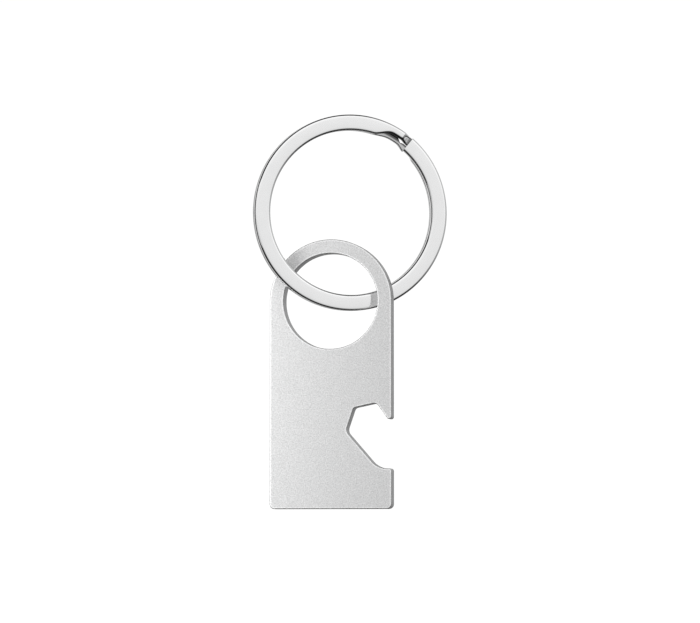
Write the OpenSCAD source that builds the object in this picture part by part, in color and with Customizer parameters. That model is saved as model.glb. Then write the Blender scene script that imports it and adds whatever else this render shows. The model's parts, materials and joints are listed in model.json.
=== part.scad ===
// Keychain bottle opener: a flat opener plate threaded on a split ring.
// +Z is up along the plate, its front face looks along -Y, and its cap notch is on the +X side.
// The origin is the hang point: the top of the ring's inside, where a hook holds it.

/* [Opener plate] */
// Width of the plate
plate_w = 20.3; // [19.8:0.1:21]
// Height from the bottom edge to the top of the arch
plate_h = 44.2; // [43:0.1:50]
// Thickness of the plate
plate_t = 2.6; // [2:0.1:3]
// Diameter of the ring hole, concentric with the arch
hole_d = 15.7; // [15.6:0.1:16]
// Radius of the two bottom corners
corner_r = 0.8; // [0.3:0.1:2]

/* [Cap notch] */
// Height of the hook's tip above the plate's bottom edge
hook_tip_h = 13.8; // [13.5:0.1:14.5]
// Height of the shoulder that rests on top of the cap
shoulder_h = 6.6; // [6:0.1:7]
// Depth of the notch from the plate's right edge to its innermost corner
notch_depth = 7.6; // [7:0.1:8]
// Radius between the notch's ramp and its shoulder
ramp_r = 3.4; // [2:0.1:3.6]
// Radius that takes the point off the hook and the shoulder
tip_r = 0.4; // [0.2:0.05:0.5]

/* [Split ring] */
// Outer diameter of the ring
ring_od = 32.3; // [31.8:0.1:32.6]
// Inner diameter of the ring
ring_id = 27; // [26.7:0.1:27.2]
// Thickness of the flat wire, one coil
wire_t = 1.2; // [1:0.05:1.2]
// Gap between the two coils
coil_gap = 0.05; // [0.03:0.01:0.1]
// Chamfer along the wire's edges
wire_edge = 0.25; // [0.15:0.05:0.35]
// Angle of the front coil's free end, counted up from the +X side of the ring
free_end_a = 50.5; // [45:0.5:55]
// Angle at the root of the spring leaf, the part of the front coil that lifts
leaf_root_a = -42; // [-45:1:-30]

/* [How the ring lies in the hole] */
// Turn of the ring about the vertical, away from the plate's plane
ring_turn = 23; // [23:0.5:60]
// Lean of the ring, its top towards the front
ring_lean = 3; // [0:0.5:4]
// Ring centre to the right of the hole's centre
ring_side = 3.05; // [2.9:0.05:3.2]
// Ring centre behind the hole's centre
ring_behind = 0.1; // [0:0.05:0.2]
// Ring centre above the hole's centre
ring_rise = 14.6; // [14.5:0.1:14.7]

/* [Hidden] */

arc_step = 6;                     // degrees between two points of a corner's arc
round_fn = 96;                    // sides shown on the hole and the arch
through = 1;                      // how far a cutter runs past a face
root_gap = 0.1;                   // degrees between the leaf and the coil it springs from
hook_run = 2.5;                   // how far the hook's inner flank runs into the plate
hook_rise = 3.5;                  // how far that flank rises

ring_r_in = ring_id / 2;
ring_r_out = ring_od / 2;
ring_at = ring_r_in * [-sin(ring_lean) * sin(ring_turn), sin(ring_lean) * cos(ring_turn),
    -cos(ring_lean)];             // centre of the ring
hole_at = ring_at - [ring_side, ring_behind, ring_rise];  // centre of the plate's hole
bottom_z = plate_w / 2 - plate_h; // bottom edge, counted from the hole's centre
right_x = plate_w / 2;
front_z = coil_gap / 2;           // the front coil's inner face, in the ring's own frame
back_z = -coil_gap / 2 - wire_t;  // the back coil's outer face

// Where the coil changes layer, as angles counted up from the ring's +X side
neck_start_a = 75;                // the front coil starts to narrow
neck_a = 62;                      // it is fully narrowed
dive_start_a = 56;                // it leaves the front layer
dive_end_a = 51;                  // it has reached the back layer
widen_start_a = 50;               // it starts to widen again
widen_end_a = 40;                 // it has its full width again
tongue_end_a = 49.5;              // cut end of the back coil
tongue_taper_a = 58;              // the back coil's end starts to slim towards its tip
tongue_slim_a = 54;               // it has slimmed to its tip
neck_r_in = 14.75;                // inner radius of the narrowed stretch
tongue_r_in = 13.9;               // inner radius of the back coil's end
tongue_r_out = 14.9;              // its outer radius beside the neck
tongue_tip_r_out = 14.2;          // its outer radius at the tip
sweep_step = 1.5;                 // degrees between two sections of a swept stretch
join_a = 1;                       // degrees that a swept stretch runs into its coil

silver = [0.84, 0.85, 0.86];
satin = [0.78, 0.79, 0.8];

// ---- helpers -------------------------------------------------------------------------

// Points that round the corner p, between the corners a and b, with radius r
function rounded_corner(a, p, b, r) =
    let(u = (a - p) / norm(a - p), v = (b - p) / norm(b - p),
        half = acos(u * v) / 2,
        centre = p + (u + v) / norm(u + v) * r / sin(half),
        start = p + u * r / tan(half) - centre,
        side = sign(cross(p - a, b - p)),
        steps = ceil((180 - 2 * half) / arc_step))
    [for (i = [0:steps])
        let(t = side * (180 - 2 * half) * i / steps)
        centre + [start.x * cos(t) - start.y * sin(t), start.x * sin(t) + start.y * cos(t)]];

// An outline of corners [x, y, r]; a radius of 0 leaves the corner sharp
function rounded_outline(corners) =
    let(n = len(corners))
    [for (i = [0:n - 1])
        let(a = corners[(i + n - 1) % n], p = corners[i], b = corners[(i + 1) % n])
        each p.z == 0 ? [[p.x, p.y]]
            : rounded_corner([a.x, a.y], [p.x, p.y], [b.x, b.y], p.z)];

// 0 at a, 1 at b and a smooth rise between them
function ease(a, b, x) = let(t = min(max((x - a) / (b - a), 0), 1)) t * t * (3 - 2 * t);

// Section of the wire in the plane of radius and thickness, with chamfered edges
function wire_section(r_in, r_out, z) =
    let(e = wire_edge, top = z + wire_t)
    [[r_in, z + e], [r_in + e, z], [r_out - e, z], [r_out, z + e],
     [r_out, top - e], [r_out - e, top], [r_in + e, top], [r_in, top - e]];

// A closed bar through the sections, each one [angle, points]
module swept_bar(sections) {
    n = len(sections[0][1]);
    last = len(sections) - 1;
    points = [for (s = sections, p = s[1]) [p.x * cos(s[0]), p.x * sin(s[0]), p.y]];
    sides = [for (k = [0:last - 1], i = [0:n - 1])
        let(j = (i + 1) % n) [k * n + i, (k + 1) * n + i, (k + 1) * n + j, k * n + j]];
    caps = [[for (i = [0:n - 1]) i], [for (i = [n - 1:-1:0]) last * n + i]];
    polyhedron(points, concat(sides, caps), convexity = 6);
}

// Angles from a down to b, evenly spaced
function angles(a, b) = let(n = ceil((a - b) / sweep_step)) [for (i = [0:n]) a + (b - a) * i / n];

// A stretch of full-width coil whose inner face lies at z
module coil(z, start_a, end_a) {
    rotate_extrude(angle = end_a - start_a, start = start_a, $fn = 180)
        polygon(wire_section(ring_r_in, ring_r_out, z));
}

// Stands a shape drawn flat, front upwards, where the ring hangs
module place_ring() {
    translate(ring_at) rotate([0, 0, ring_turn]) rotate([90 + ring_lean, 0, 0]) children();
}

// ---- sub-parts -----------------------------------------------------------------------

// Outline of the notch, drawn from the plate's bottom right corner
module notch_outline() {
    lip = 3;                      // how far the cutter runs past the right edge
    polygon(rounded_outline([
        [lip, hook_tip_h, 0],
        [0, hook_tip_h, 0],
        [-hook_run, hook_tip_h + hook_rise, 0.9],
        [1.3 - notch_depth, hook_tip_h + 2.7, 0.7],
        [-notch_depth, hook_tip_h - 1.1, 1.2],
        [-2.3, shoulder_h, ramp_r],
        [lip, shoulder_h, 0]]));
}

// What comes off the points of the hook and the shoulder to round them
module notch_tips() {
    back = hook_rise / hook_run;  // slope of the hook's inner flank
    for (tip = [[hook_tip_h, 1, back], [shoulder_h, -1, 0]]) {
        p = [0, tip[0]];
        up = [0, tip[0] + 2 * tip[1]];
        inward = [-1, tip[0] + tip[2]];
        arc = rounded_corner(up, p, inward, tip_r);
        polygon(concat([p + [through, -through * tip[1]], arc[0] + [through, 0]], arc,
            [arc[len(arc) - 1] + [0, -through * tip[1]]]));
    }
}

module opener_plate() color(satin) translate(hole_at) rotate([90, 0, 0])
    linear_extrude(plate_t, center = true) difference() {
        union() {
            circle(d = plate_w, $fn = round_fn);
            polygon(rounded_outline([
                [-right_x, 0, 0], [-right_x, bottom_z, corner_r],
                [right_x, bottom_z, corner_r], [right_x, 0, 0]]));
        }
        circle(d = hole_d, $fn = round_fn);
        translate([right_x, bottom_z]) {
            notch_outline();
            notch_tips();
        }
    }

// The narrowed stretch that takes the wire from the front layer to the back layer
module neck() {
    swept_bar([for (a = angles(neck_start_a + join_a, widen_end_a - join_a))
        let(slim = ease(neck_start_a, neck_a, a) * ease(widen_end_a, widen_start_a, a),
            dive = ease(dive_start_a, dive_end_a, a))
        [a, wire_section(ring_r_in + (neck_r_in - ring_r_in) * slim, ring_r_out,
            front_z + (back_z - front_z) * dive)]]);
}

// The end of the back coil, slimmed to lie inside the neck
module tongue() {
    swept_bar([for (a = angles(neck_start_a + join_a, tongue_end_a))
        let(slim = ease(neck_start_a, neck_a, a),
            tip = ease(tongue_taper_a, tongue_slim_a, a),
            flare = ease(dive_start_a, tongue_end_a, a))
        [a, wire_section(ring_r_in + (tongue_r_in - ring_r_in) * slim * (1 - flare),
            ring_r_out + (tongue_r_out - ring_r_out) * slim
                + (tongue_tip_r_out - tongue_r_out) * tip, back_z)]]);
}

module split_ring() color(silver) place_ring() {
    coil(front_z, neck_start_a, 360 + leaf_root_a - root_gap);
    coil(back_z, neck_start_a, 360 + widen_end_a);
    neck();
    tongue();
}

module ring_spring_leaf() color(silver) place_ring() coil(front_z, leaf_root_a, free_end_a);

opener_plate();
split_ring();
ring_spring_leaf();
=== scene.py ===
"""Keychain bottle opener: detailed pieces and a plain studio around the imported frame.

Sizes are millimetres and angles degrees up to mesh_object(), which turns them into metres.
The lights, the floor and the camera are placed in metres.
"""

import json
import math

import bpy
from mathutils import Matrix, Vector
from mathutils.geometry import tessellate_polygon


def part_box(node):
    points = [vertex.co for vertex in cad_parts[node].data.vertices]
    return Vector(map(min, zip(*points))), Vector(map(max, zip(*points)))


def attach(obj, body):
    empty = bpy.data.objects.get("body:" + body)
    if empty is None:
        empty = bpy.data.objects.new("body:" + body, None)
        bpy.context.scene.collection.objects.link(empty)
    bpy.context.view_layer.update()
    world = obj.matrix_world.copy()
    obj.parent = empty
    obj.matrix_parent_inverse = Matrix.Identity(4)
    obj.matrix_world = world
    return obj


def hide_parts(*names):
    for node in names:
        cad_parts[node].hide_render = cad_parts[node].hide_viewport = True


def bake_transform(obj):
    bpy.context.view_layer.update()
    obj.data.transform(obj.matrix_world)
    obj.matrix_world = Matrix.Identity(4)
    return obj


MM = 0.001

# ---- the frame, and what it says about where things are --------------------------------

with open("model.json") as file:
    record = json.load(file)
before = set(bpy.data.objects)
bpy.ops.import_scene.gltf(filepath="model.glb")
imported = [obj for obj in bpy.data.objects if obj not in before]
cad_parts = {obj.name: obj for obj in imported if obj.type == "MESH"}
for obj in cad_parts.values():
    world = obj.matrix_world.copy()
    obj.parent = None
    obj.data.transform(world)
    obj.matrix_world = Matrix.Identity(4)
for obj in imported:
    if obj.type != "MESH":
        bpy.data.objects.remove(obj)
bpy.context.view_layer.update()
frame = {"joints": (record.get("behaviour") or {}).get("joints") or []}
joints = {j["name"]: j for j in frame["joints"]}

plate_low, plate_high = (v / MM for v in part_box("opener_plate"))
plate_w = plate_high.x - plate_low.x
plate_t = plate_high.y - plate_low.y
plate_h = plate_high.z - plate_low.z
hole = Vector(joints["plate_swing"]["pos_m"]) / MM  # centre of the plate's hole

# ---- sizes; those that the CAD source also has are the same there --------------------------

HOLE_R = 7.85
CORNER_R = 0.8
HOOK_H, SHOULDER_H = 13.8, 6.6
NOTCH_DEPTH = 7.6
RAMP_R = 3.4
TIP_R = 0.4
HOOK_FLANK = (-2.5, 3.5)  # run and rise of the hook's inner flank
HOLLOW_ROOF = (1.3 - NOTCH_DEPTH, 2.7)  # inner corner of the hollow above the hook's tip
PLATE_EDGE = 0.16  # radius that tumbling leaves on the plate's edges
EDGE_ROLLS = 6  # steps that round the edges of the plate and of the wire

RING_IN, RING_OUT = 13.5, 16.15
WIRE_T = 1.2
COIL_GAP = 0.05
RING_TURN, RING_LEAN = 23.0, 3.0
WIRE_EDGE = 0.42  # radius along the ring's outer edges
GAP_EDGE = 0.18  # radius along the edges where the two coils meet
FRONT_EDGES, BACK_EDGES = (GAP_EDGE, WIRE_EDGE), (WIRE_EDGE, GAP_EDGE)
FACE_CROWN = 0.035  # how much lower the wire's faces are at their edges
WALL_CROWN = 0.02  # the same for its narrow sides
FREE_END_A, ROOT_A = 50.5, -42.0  # where the spring leaf ends, and where it starts
SWEEP_STEP = 1.0  # degrees between two sections of the wire
FRONT_Z = COIL_GAP / 2
BACK_Z = -COIL_GAP / 2 - WIRE_T


def ease(a, b, x):
    """0 at a, 1 at b and a smooth rise between them."""
    t = min(max((x - a) / (b - a), 0.0), 1.0)
    return t * t * (3 - 2 * t)


# ---- mesh helpers ------------------------------------------------------------------------


def mesh_object(name, points, faces, sharp=()):
    """A smooth-shaded mesh object from points in millimetres; sharp lists pairs of points."""
    mesh = bpy.data.meshes.new(name)
    mesh.from_pydata([tuple(c * MM for c in p) for p in points], [], faces)
    mesh.validate()
    mesh.shade_smooth()
    wanted = {frozenset(pair) for pair in sharp}
    if wanted:
        for edge in mesh.edges:
            if frozenset(edge.vertices) in wanted:
                edge.use_edge_sharp = True
    obj = bpy.data.objects.new(name, mesh)
    bpy.context.scene.collection.objects.link(obj)
    return obj


def add_attribute(obj, name, values):
    """A number on every point of the mesh, for its material to read."""
    obj.data.attributes.new(name, "FLOAT", "POINT").data.foreach_set("value", values)


def rounded_corner(a, p, b, r, step=6.0):
    """Points that round the corner p, between the corners a and b, with radius r."""
    a, p, b = Vector(a), Vector(p), Vector(b)
    u, v = (a - p).normalized(), (b - p).normalized()
    half = math.acos(max(-1.0, min(1.0, u.dot(v)))) / 2
    centre = p + (u + v).normalized() * (r / math.sin(half))
    start = p + u * (r / math.tan(half)) - centre
    d, e = p - a, b - p
    side = math.copysign(1.0, d.x * e.y - d.y * e.x)
    turn = math.pi - 2 * half
    steps = max(2, math.ceil(math.degrees(turn) / step))
    made = []
    for i in range(steps + 1):
        t = side * turn * i / steps
        c, s = math.cos(t), math.sin(t)
        made.append(centre + Vector((start.x * c - start.y * s, start.x * s + start.y * c)))
    return made


def rounded_outline(corners):
    """An outline of corners (x, y, r); a radius of 0 leaves the corner sharp."""
    made = []
    n = len(corners)
    for i, (x, y, r) in enumerate(corners):
        if r == 0:
            made.append(Vector((x, y)))
        else:
            made += rounded_corner(corners[i - 1][:2], (x, y), corners[(i + 1) % n][:2], r)
    return made


def densified(points, longest):
    """The closed outline with its long sides cut into pieces no longer than that."""
    made = []
    for i, p in enumerate(points):
        q = points[(i + 1) % len(points)]
        n = max(1, math.ceil((q - p).length / longest))
        made += [p + (q - p) * (k / n) for k in range(n)]
    return made


def inset(points, distance):
    """Every point moved square to the outline, into the metal, with mitred corners."""
    made = []
    n = len(points)
    for i, p in enumerate(points):
        before = (p - points[i - 1]).normalized()
        after = (points[(i + 1) % n] - p).normalized()
        normals = [Vector((-d.y, d.x)) for d in (before, after)]
        mean = (normals[0] + normals[1]).normalized()
        made.append(p + mean * (distance / max(0.3, mean.dot(normals[0]))))
    return made


# ---- the plate ---------------------------------------------------------------------------


def plate_outline():
    """The outer outline, counter-clockwise, seen from the front, from the hole's centre."""
    half = plate_w / 2
    bottom = half - plate_h
    notch = [  # (distance from the right edge, height above the bottom edge, radius)
        (0, SHOULDER_H, TIP_R),
        (-2.3, SHOULDER_H, RAMP_R),
        (-NOTCH_DEPTH, HOOK_H - 1.1, 1.2),
        (HOLLOW_ROOF[0], HOOK_H + HOLLOW_ROOF[1], 0.7),
        (HOOK_FLANK[0], HOOK_H + HOOK_FLANK[1], 0.9),
        (0, HOOK_H, TIP_R),
    ]
    corners = [(-half, 0, 0), (-half, bottom, CORNER_R), (half, bottom, CORNER_R)]
    corners += [(half + x, bottom + h, r) for x, h, r in notch]
    corners.append((half, 0, 0))
    arch = [Vector((half * math.cos(t), half * math.sin(t)))
            for t in (math.pi * k / 90 for k in range(1, 90))]
    return rounded_outline(corners) + arch


def plate_mesh():
    """The plate with its hole; every edge is rolled over, and the faces stay flat."""
    outer = densified(plate_outline(), 1.0)
    inner = [Vector((HOLE_R * math.cos(t), -HOLE_R * math.sin(t)))
             for t in (2 * math.pi * k / 180 for k in range(180))]
    half = plate_t / 2
    # (distance in from the outline, distance in front of the middle), front face to back face
    profile = [(PLATE_EDGE * 1.9, half), (PLATE_EDGE * 1.4, half)]
    for k in range(EDGE_ROLLS + 1):
        t = math.pi / 2 * k / EDGE_ROLLS
        profile.append((PLATE_EDGE * (1 - math.sin(t)), half - PLATE_EDGE * (1 - math.cos(t))))
    profile += [(0.0, z) for z in (half * 0.4, 0.0)]  # the side wall, then the back half
    profile += [(d, -z) for d, z in reversed(profile[:-1])]
    points, faces = [], []
    rims = {}
    for which, loop in (("outer", outer), ("inner", inner)):
        n = len(loop)
        base = len(points)
        for d, y in profile:
            for p in inset(loop, d):
                points.append((hole.x + p.x, hole.y - y, hole.z + p.y))
        for row in range(len(profile) - 1):
            for i in range(n):
                j = (i + 1) % n
                a, b = base + row * n, base + (row + 1) * n
                faces.append((a + i, b + i, b + j, a + j))
        last = base + (len(profile) - 1) * n
        rims[which] = (list(range(base, base + n)), list(range(last, last + n)))
    for side in (0, 1):
        loops = [rims["outer"][side], rims["inner"][side]]
        flat = [i for loop in loops for i in loop]
        shapes = [[Vector((points[i][0], points[i][2], 0)) for i in loop] for loop in loops]
        for tri in tessellate_polygon(shapes):
            face = [flat[i] for i in tri]
            a, b, c = (Vector((points[i][0], points[i][2])) for i in face)
            ccw = (b - a).x * (c - a).y - (b - a).y * (c - a).x > 0
            if ccw == (side == 1):
                face.reverse()
            faces.append(tuple(face))
    # The flat faces are cut off from the rolled edges, so that their thin triangles shade flat
    sharp = [(loop[i - 1], loop[i]) for pair in rims.values() for loop in pair
             for i in range(len(loop))]
    obj = mesh_object("plate", points, faces, sharp)
    # Where the tumbling has smoothed the edges, which also get a painted highlight, and where
    # the side walls are, which get painted shade
    rolled, walls = [], []
    for loop in (outer, inner):
        for d, y in profile:
            on_edge = d < PLATE_EDGE * 1.5 and abs(y) > half - PLATE_EDGE * 0.75
            rolled += [1.0 if on_edge else 0.0] * len(loop)
            walls += [1.0 if d < PLATE_EDGE * 0.4 else 0.0] * len(loop)
    add_attribute(obj, "wear_and_painted_highlight", rolled)
    add_attribute(obj, "wall_shade", walls)
    return obj


# ---- the ring's wire ---------------------------------------------------------------------

NECK_START, NECK_FULL = 75.0, 62.0
DIVE_START, DIVE_END = 56.0, 51.0
WIDEN_START, WIDEN_END = 50.0, 40.0
TONGUE_END = 49.5
TONGUE_TAPER, TONGUE_SLIM = 58.0, 54.0
NECK_R_IN = 14.75
TONGUE_R_IN, TONGUE_R_OUT = 13.9, 14.9
TONGUE_TIP_R_OUT = 14.35  # a little wider than in the CAD source
HOOKED_START, HOOKED_END, HOOKED_OUT = 55.0, 52.6, 0.24  # the tongue's tip turns out again
THINNEST_FLAT = 0.02  # what the rounded edges leave of half the tongue's width

# Painted shade: how dark the wire's colour is made where other stretches of it shade it, from 0
# to 1
GROOVE_FULL = 68.0  # from this angle on the groove between the neck and the tongue is dark
NECK_DARK, NECK_LIGHT = 0.1, 0.4  # the neck darkens this close to its inner side
TONGUE_LIGHT, TONGUE_DARK = 14.15, 14.4  # the tongue darkens between these radii
TONGUE_SHADE = 0.42  # and is this dark all over
UNDER_START, UNDER_FULL, UNDER_SHADE = 52.4, 51.4, 0.85  # where the neck dips below the free end


def wire_section(r_in, r_out, z, edges):
    """Rolled flat wire in the plane of radius and thickness, counter-clockwise.

    The faces and the narrow sides are slightly crowned. edges holds the radii of the two
    corners at the section's low face and of the two at its high face.
    """
    half_r, half_t = (r_out - r_in) / 2, WIRE_T / 2
    mid_r, mid_z = (r_in + r_out) / 2, z + half_t
    spans = 8
    crown = FACE_CROWN * half_r * 2 / (RING_OUT - RING_IN)
    corners = []
    for side_r, side_z, turned in ((1, -1, -90), (1, 1, 0), (-1, 1, 90), (-1, -1, 180)):
        edge = edges[0] if side_z < 0 else edges[1]
        centre = Vector((side_r * (half_r - edge), side_z * (half_t - edge)))
        turns = [math.radians(turned + 90 * k / EDGE_ROLLS) for k in range(EDGE_ROLLS + 1)]
        corners.append([centre + edge * Vector((math.cos(t), math.sin(t))) for t in turns])
    made = []
    for i, corner in enumerate(corners):
        a, b = corner[-1], corners[(i + 1) % 4][0]
        for q in corner + [a + (b - a) * (k / spans) for k in range(1, spans)]:
            u, w = q.x / half_r, q.y / half_t
            made.append((mid_r + q.x * (1 - WALL_CROWN / half_r * w * w),
                         mid_z + q.y * (1 - crown / half_t * u * u)))
    return made


def wire_at(s):
    """Section at s, the angle from the root down the front coil, the neck and the back coil.

    The front coil runs from ROOT_A down to NECK_START - 360, and the back coil a full turn
    further, so an angle below NECK_START - 360 is on its way to the back layer.
    """
    a = s + 360.0
    if a > NECK_START:  # front coil
        return wire_section(RING_IN, RING_OUT, FRONT_Z, FRONT_EDGES)
    if a > WIDEN_END:  # neck
        slim = ease(NECK_START, NECK_FULL, a) * ease(WIDEN_END, WIDEN_START, a)
        dive = ease(DIVE_START, DIVE_END, a)
        edges = [f + (b - f) * dive for f, b in zip(FRONT_EDGES, BACK_EDGES)]
        return wire_section(RING_IN + (NECK_R_IN - RING_IN) * slim, RING_OUT,
                            FRONT_Z + (BACK_Z - FRONT_Z) * dive, edges)
    a += 360.0
    if a > NECK_START:  # back coil
        return wire_section(RING_IN, RING_OUT, BACK_Z, BACK_EDGES)
    slim = ease(NECK_START, NECK_FULL, a)
    tip = ease(TONGUE_TAPER, TONGUE_SLIM, a)
    flare = ease(DIVE_START, TONGUE_END, a)
    r_in = RING_IN + (TONGUE_R_IN - RING_IN) * slim * (1 - flare)
    r_out = (RING_OUT + (TONGUE_R_OUT - RING_OUT) * slim
             + (TONGUE_TIP_R_OUT - TONGUE_R_OUT) * tip
             + HOOKED_OUT * ease(HOOKED_START, HOOKED_END, a))
    widest = (r_out - r_in) / 2 - THINNEST_FLAT
    return wire_section(r_in, r_out, BACK_Z, [min(edge, widest) for edge in BACK_EDGES])


# From the ring's own flat frame, front upwards, to where it hangs, in millimetres
RING_PLACE = (Matrix.Rotation(math.radians(RING_TURN), 4, "Z")
              @ Matrix.Rotation(math.radians(90 + RING_LEAN), 4, "X")
              @ Matrix.Translation((0, -RING_IN, 0)))


def on_ring(a, r, z=0.0):
    """The point of the hanging ring at that angle, radius and height in its flat frame."""
    t = math.radians(a)
    return RING_PLACE @ Vector((r * math.cos(t), r * math.sin(t), z))


def groove_shade_at(s, r, r_in, in_front):
    """How dark the painted shade is at a point of the wire; s and r_in are the angle and inner
    radius there.
    """
    a = s + 360.0
    if WIDEN_START < a < NECK_START:  # the neck, on its inner side and below the free end
        inner = ease(NECK_START, GROOVE_FULL, a) * ease(r_in + NECK_LIGHT, r_in + NECK_DARK, r)
        under = UNDER_SHADE * ease(UNDER_START, UNDER_FULL, a)
        return max(inner, under) if in_front else inner
    a += 360.0
    if a < NECK_START:  # the tongue, beside the neck
        across = TONGUE_SHADE + (1 - TONGUE_SHADE) * ease(TONGUE_LIGHT, TONGUE_DARK, r)
        return ease(NECK_START, GROOVE_FULL, a) * across
    return 0.0


def sections_between(start, end, section_at):
    """Pairs of an angle and the wire's section there, from start down to end."""
    steps = math.ceil((start - end) / SWEEP_STEP)
    angles = [start + (end - start) * k / steps for k in range(steps + 1)]
    return [(a, section_at(a)) for a in angles]


def wire_mesh(name, rows):
    """A closed length of wire through the sections, with square ends."""
    width = len(rows[0][1])
    last = (len(rows) - 1) * width
    points = [tuple(on_ring(a, r, z)) for a, section in rows for r, z in section]
    faces, sharp = [], []
    for a in range(0, last, width):
        b = a + width
        for i in range(width):
            j = (i + 1) % width
            faces.append((a + i, a + j, b + j, b + i))
    faces.append(tuple(range(width - 1, -1, -1)))
    faces.append(tuple(range(last, last + width)))
    for base in (0, last):
        sharp += [(base + i, base + (i + 1) % width) for i in range(width)]
    return mesh_object(name, points, faces, sharp)


def groove_shade(rows):
    """The painted shade of groove_shade_at() for every point of the sections."""
    made = []
    for a, section in rows:
        r_in = min(r for r, z in section)
        middle = (min(z for r, z in section) + max(z for r, z in section)) / 2
        made += [groove_shade_at(a, r, r_in, z > middle) for r, z in section]
    return made


# ---- materials ---------------------------------------------------------------------------


def material(name):
    """A new node material and its Principled shader."""
    made = bpy.data.materials.new(name)
    made.use_nodes = True
    return made, made.node_tree, made.node_tree.nodes["Principled BSDF"]


def link(tree, a, b):
    """Join the output socket a to the input socket b."""
    tree.links.new(a, b)


def attribute(tree, name):
    """The value of a mesh attribute."""
    node = tree.nodes.new("ShaderNodeAttribute")
    node.attribute_name = name
    return node.outputs["Fac"]


def noise(tree, coords, scale, detail=2.0, roughness=0.5):
    """The value of a noise texture, from 0 to 1 about 0.5."""
    node = tree.nodes.new("ShaderNodeTexNoise")
    node.inputs["Scale"].default_value = scale
    node.inputs["Detail"].default_value = detail
    node.inputs["Roughness"].default_value = roughness
    link(tree, coords, node.inputs["Vector"])
    return node.outputs["Fac"]


def ramp(tree, source, stops):
    """The colour at source on a ramp of stops (position, colour)."""
    node = tree.nodes.new("ShaderNodeValToRGB")
    for element, (position, colour) in zip(node.color_ramp.elements, (stops[0], stops[-1])):
        element.position = position
        element.color = (*colour, 1)
    for position, colour in stops[1:-1]:
        node.color_ramp.elements.new(position).color = (*colour, 1)
    link(tree, source, node.inputs["Fac"])
    return node.outputs["Color"]


def map_range(tree, source, low, high):
    """source, which runs from 0 to 1, turned into low to high."""
    node = tree.nodes.new("ShaderNodeMapRange")
    node.inputs["To Min"].default_value = low
    node.inputs["To Max"].default_value = high
    link(tree, source, node.inputs["Value"])
    return node.outputs["Result"]


def scaled(tree, colour, factor):
    """The colour times the factor."""
    node = tree.nodes.new("ShaderNodeVectorMath")
    node.operation = "SCALE"
    link(tree, colour, node.inputs["Vector"])
    link(tree, factor, node.inputs["Scale"])
    return node.outputs["Vector"]


def bump(tree, height, distance):
    """A bump node; its strength and what reads its normal are set by the caller."""
    node = tree.nodes.new("ShaderNodeBump")
    node.inputs["Distance"].default_value = distance
    link(tree, height, node.inputs["Height"])
    return node


def grey(v):
    """A grey that is a touch cool."""
    return (v, v * 1.002, v * 1.004)


def plate_material():
    """Bead-blasted, clear anodised aluminium, tumbled smooth on its edges, with a painted
    highlight along the edges and painted shade on the side walls.
    """
    mat, tree, shader = material("blasted_aluminium")
    coords = tree.nodes.new("ShaderNodeTexCoord").outputs["Object"]
    grain = noise(tree, coords, 5200, 3, 0.6)
    patches = noise(tree, coords, 900)
    mottling = map_range(tree, noise(tree, coords, 1700), -0.05, 0.05)
    worn_and_highlit, wall_shade = attribute(tree, "wear_and_painted_highlight"), attribute(tree, "wall_shade")
    mixed = tree.nodes.new("ShaderNodeMath")  # adds
    link(tree, grain, mixed.inputs[0])
    link(tree, mottling, mixed.inputs[1])
    colour = ramp(tree, mixed.outputs["Value"],
                  [(0.3, grey(0.54)), (0.5, grey(0.675)), (0.7, grey(0.81))])
    # Painted highlight: the rolled edges are made lighter
    colour = scaled(tree, colour, map_range(tree, worn_and_highlit, 1.0, 1.2))
    # Painted shade: the side walls are made darker
    colour = scaled(tree, colour, map_range(tree, wall_shade, 1.0, 0.62))
    link(tree, colour, shader.inputs["Base Color"])
    smoother = tree.nodes.new("ShaderNodeMix")
    smoother.inputs["B"].default_value = 0.42
    link(tree, worn_and_highlit, smoother.inputs["Factor"])
    link(tree, map_range(tree, patches, 0.46, 0.56), smoother.inputs["A"])
    link(tree, smoother.outputs["Result"], shader.inputs["Roughness"])
    dimples = bump(tree, grain, 0.00003)
    link(tree, map_range(tree, worn_and_highlit, 0.5, 0.04), dimples.inputs["Strength"])
    link(tree, dimples.outputs["Normal"], shader.inputs["Normal"])
    shader.inputs["Metallic"].default_value = 1.0
    return mat


def ring_material():
    """Polished nickel plate on spring steel, faintly hazy, with painted shade where the neck and
    the tongue lie side by side and below the free end.
    """
    mat, tree, shader = material("polished_nickel")
    coords = tree.nodes.new("ShaderNodeTexCoord").outputs["Object"]
    haze = noise(tree, coords, 600, 3)
    colour = ramp(tree, haze, [(0.3, grey(0.82)), (0.7, grey(0.84))])
    # Painted shade: the colour darkens between the neck and the tongue and below the free end
    colour = scaled(tree, colour, map_range(tree, attribute(tree, "groove_painted_shade"), 1.0, 0.12))
    link(tree, colour, shader.inputs["Base Color"])
    link(tree, map_range(tree, haze, 0.07, 0.11), shader.inputs["Roughness"])
    marks = bump(tree, noise(tree, coords, 7000), 0.000004)
    marks.inputs["Strength"].default_value = 0.03
    link(tree, marks.outputs["Normal"], shader.inputs["Normal"])
    shader.inputs["Metallic"].default_value = 1.0
    return mat


# ---- the pieces --------------------------------------------------------------------------

satin, polished = plate_material(), ring_material()

plate = plate_mesh()
plate.data.materials.append(satin)
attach(plate, "opener")
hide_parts("opener_plate")

ring_rows = sections_between(ROOT_A, TONGUE_END - 720.0, wire_at)
ring = wire_mesh("ring_wire", ring_rows)
# Painted shade for the wire's colour, point by point
add_attribute(ring, "groove_painted_shade", groove_shade(ring_rows))
ring.data.materials.append(polished)
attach(ring, "ring")
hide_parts("split_ring")

# The front coil's free stretch, from its free end down to its root
front_section = wire_section(RING_IN, RING_OUT, FRONT_Z, FRONT_EDGES)
leaf = wire_mesh("ring_leaf", sections_between(FREE_END_A, ROOT_A, lambda a: front_section))
leaf.data.materials.append(polished)
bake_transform(leaf)
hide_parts("ring_spring_leaf")

# ---- the studio --------------------------------------------------------------------------

scene = bpy.context.scene
scene.view_settings.view_transform = "Standard"
scene.view_settings.look = "None"


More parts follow.
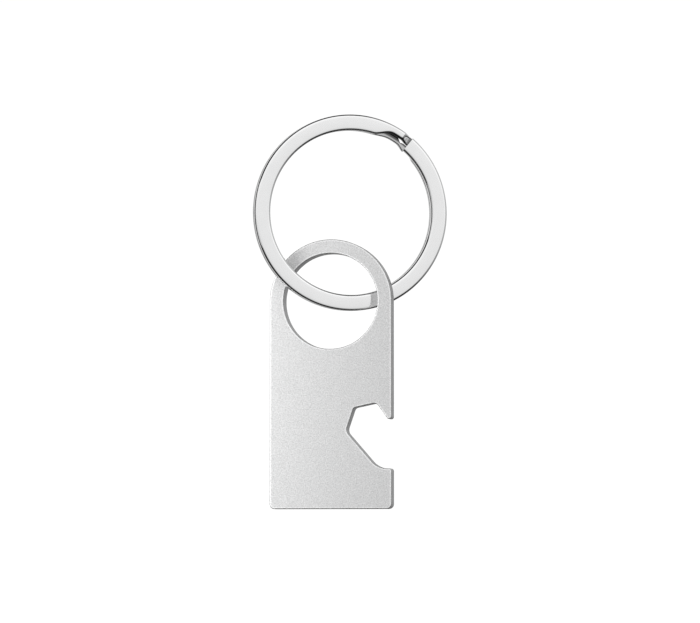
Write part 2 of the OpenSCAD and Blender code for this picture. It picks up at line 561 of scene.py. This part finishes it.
def unit(azimuth, elevation):
    """The direction towards a camera at that azimuth and elevation, in degrees."""
    a, e = math.radians(azimuth), math.radians(elevation)
    return Vector((math.sin(a) * math.cos(e), -math.cos(a) * math.cos(e), math.sin(e)))


# What the camera sees of the world is plain and pale; what lights the object is a set of cards
WHITE = (1, 1, 1, 1)
world = bpy.data.worlds.new("studio")
scene.world = world
world.use_nodes = True
sky = world.node_tree
sky.nodes.clear()
out = sky.nodes.new("ShaderNodeOutputWorld")
mix = sky.nodes.new("ShaderNodeMixShader")
path = sky.nodes.new("ShaderNodeLightPath")
seen, light = (sky.nodes.new("ShaderNodeBackground") for _ in range(2))
seen.inputs["Color"].default_value = WHITE
seen.inputs["Strength"].default_value = 1.05
light.inputs["Color"].default_value = WHITE
link(sky, path.outputs["Is Camera Ray"], mix.inputs["Fac"])
link(sky, light.outputs["Background"], mix.inputs[1])
link(sky, seen.outputs["Background"], mix.inputs[2])
link(sky, mix.outputs["Shader"], out.inputs["Surface"])
direction = sky.nodes.new("ShaderNodeTexCoord").outputs["Generated"]


def math_node(operation, a, b):
    """The result of an operation on two sockets, or on a socket and a number."""
    node = sky.nodes.new("ShaderNodeMath")
    node.operation = operation
    for socket, value in zip(node.inputs, (a, b)):
        if isinstance(value, (int, float)):
            socket.default_value = value
        else:
            link(sky, value, socket)
    return node.outputs["Value"]


def along(axis):
    """How far a direction points along that axis, from -1 to 1."""
    node = sky.nodes.new("ShaderNodeVectorMath")
    node.operation = "DOT_PRODUCT"
    link(sky, direction, node.inputs[0])
    node.inputs[1].default_value = axis
    return node.outputs["Value"]


def smooth(value, low, high, level):
    """0 below low, level above high and a smooth rise between them."""
    node = sky.nodes.new("ShaderNodeMapRange")
    node.interpolation_type = "SMOOTHSTEP"
    node.inputs["From Min"].default_value = low
    node.inputs["From Max"].default_value = high
    node.inputs["To Max"].default_value = level
    link(sky, value, node.inputs["Value"])
    return node.outputs["Result"]


# Broad soft cards: (azimuth, elevation, outer angle, inner angle, level), in degrees
CARDS = [(18, 8, 56, 36, 0.92), (190, 5, 66, 32, 0.7), (100, 15, 60, 15, 0.5)]
CARD_RISE = 0.55  # how much brighter the cards are straight up than level
ROOM_LEVEL = 0.03  # light from everywhere else
total = None
for azimuth, elevation, outer_angle, inner_angle, level in CARDS:
    card = smooth(along(unit(azimuth, elevation)), math.cos(math.radians(outer_angle)),
                  math.cos(math.radians(inner_angle)), level)
    total = card if total is None else math_node("ADD", total, card)
rise = math_node("ADD", math_node("MULTIPLY", along((0, 0, 1)), CARD_RISE), 1.0)
total = math_node("ADD", math_node("MULTIPLY", total, rise), ROOM_LEVEL)
link(sky, total, light.inputs["Strength"])


SOFTBOX_AIM = Vector((0, 0, -0.04))


def softbox(name, centre, size, power, lit):
    """An area light that faces the object, lights only the objects in lit and isn't seen."""
    data = bpy.data.lights.new(name, "AREA")
    data.shape = "RECTANGLE"
    data.size, data.size_y = size
    data.energy = power
    obj = bpy.data.objects.new(name, data)
    scene.collection.objects.link(obj)
    obj.location = centre
    obj.rotation_mode = "QUATERNION"
    obj.rotation_quaternion = (SOFTBOX_AIM - Vector(centre)).to_track_quat("-Z", "Y")
    obj.visible_camera = False
    group = bpy.data.collections.new("lit_by_" + name)
    for target in lit:
        group.objects.link(target)
    obj.light_linking.receiver_collection = group


# The key lights the plate alone, because it would glare on the polished ring. The fill lights
# the ring alone, whose face would be black from the side.
softbox("key", (-0.065, -0.06, -0.035), (0.05, 0.12), 0.05, [plate])
softbox("fill", (-0.104, -0.108, -0.02), (0.09, 0.12), 0.02, [ring, leaf])

FLOOR_Z, FLOOR_REACH = -0.16, 4.0
floor_mesh = bpy.data.meshes.new("floor")
floor_mesh.from_pydata([(x * FLOOR_REACH, y * FLOOR_REACH, FLOOR_Z)
                        for x, y in ((-1, -1), (1, -1), (1, 1), (-1, 1))], [], [(0, 1, 2, 3)])
floor = bpy.data.objects.new("floor", floor_mesh)
scene.collection.objects.link(floor)
pale, _, floor_shader = material("pale_floor")
floor_shader.inputs["Base Color"].default_value = (0.9, 0.9, 0.9, 1)
floor_shader.inputs["Roughness"].default_value = 0.9
floor_shader.inputs["Emission Color"].default_value = WHITE
floor_shader.inputs["Emission Strength"].default_value = 0.75
floor_mesh.materials.append(pale)
floor.visible_glossy = False
floor.visible_diffuse = False

# ---- the camera --------------------------------------------------------------------------

AZIMUTH, ELEVATION = 11.0, -3.8
LENS, SENSOR = 180.0, 36.0
VIEW_WIDTH = 700 / 6.10  # millimetres across the picture, at the object
TARGET_SIDE, TARGET_Z = -0.18, -29.8  # where the camera looks, millimetres across and up

cam_data = bpy.data.cameras.new("camera")
cam_data.lens, cam_data.sensor_width = LENS, SENSOR
cam = bpy.data.objects.new("camera", cam_data)
scene.collection.objects.link(cam)
scene.camera = cam
back = unit(AZIMUTH, ELEVATION)
side = Vector((math.cos(math.radians(AZIMUTH)), math.sin(math.radians(AZIMUTH)), 0))
distance = VIEW_WIDTH * LENS / SENSOR * MM
target = side * TARGET_SIDE * MM + Vector((0, 0, TARGET_Z * MM))
cam.location = target + back * distance
cam.rotation_mode = "QUATERNION"
cam.rotation_quaternion = (-back).to_track_quat("-Z", "Y")
cam_data.clip_start, cam_data.clip_end = 0.05, 20
